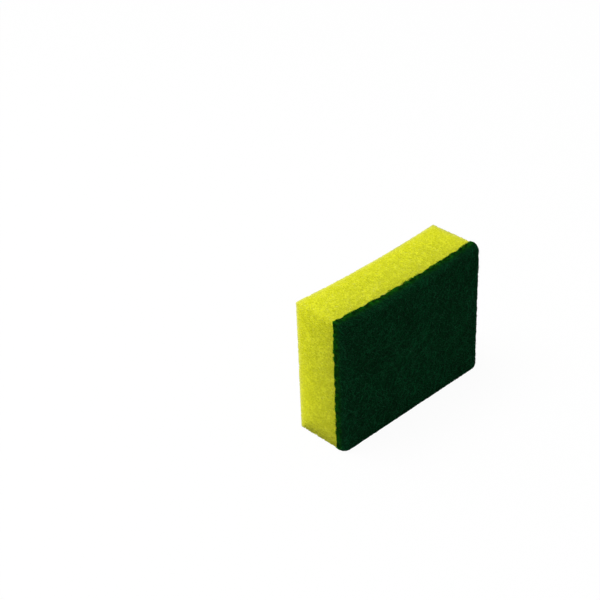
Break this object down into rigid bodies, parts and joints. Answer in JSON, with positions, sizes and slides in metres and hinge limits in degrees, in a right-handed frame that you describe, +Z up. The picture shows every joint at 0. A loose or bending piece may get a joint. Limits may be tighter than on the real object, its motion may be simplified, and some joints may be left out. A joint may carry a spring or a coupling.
{
  "type": "cleaning sponge",
  "caption": "Rectangular cleaning sponge standing on its long edge: a soft yellow foam block with a thin dark green fibre scouring pad bonded over one wide face",
  "frame": {"origin": "middle of the bottom of the bounding box, on the surface the sponge stands on", "axes": "+X through the thickness from the foam's free face to the pad's outer face, +Y along the length, +Z up"},
  "size_m": [0.029, 0.0906, 0.0691],
  "materials": {
    "yellow_foam": "open-cell polyurethane foam, cut faces, lemon yellow with a slight green cast, fine matt grain",
    "green_web": "resin-bonded non-woven fibre web with abrasive grain, very dark green, brighter green at the cut edge"
  },
  "bodies": {
    "root": {"foam_block": "yellow_foam", "scour_pad": "green_web"}
  },
  "joints": []
}
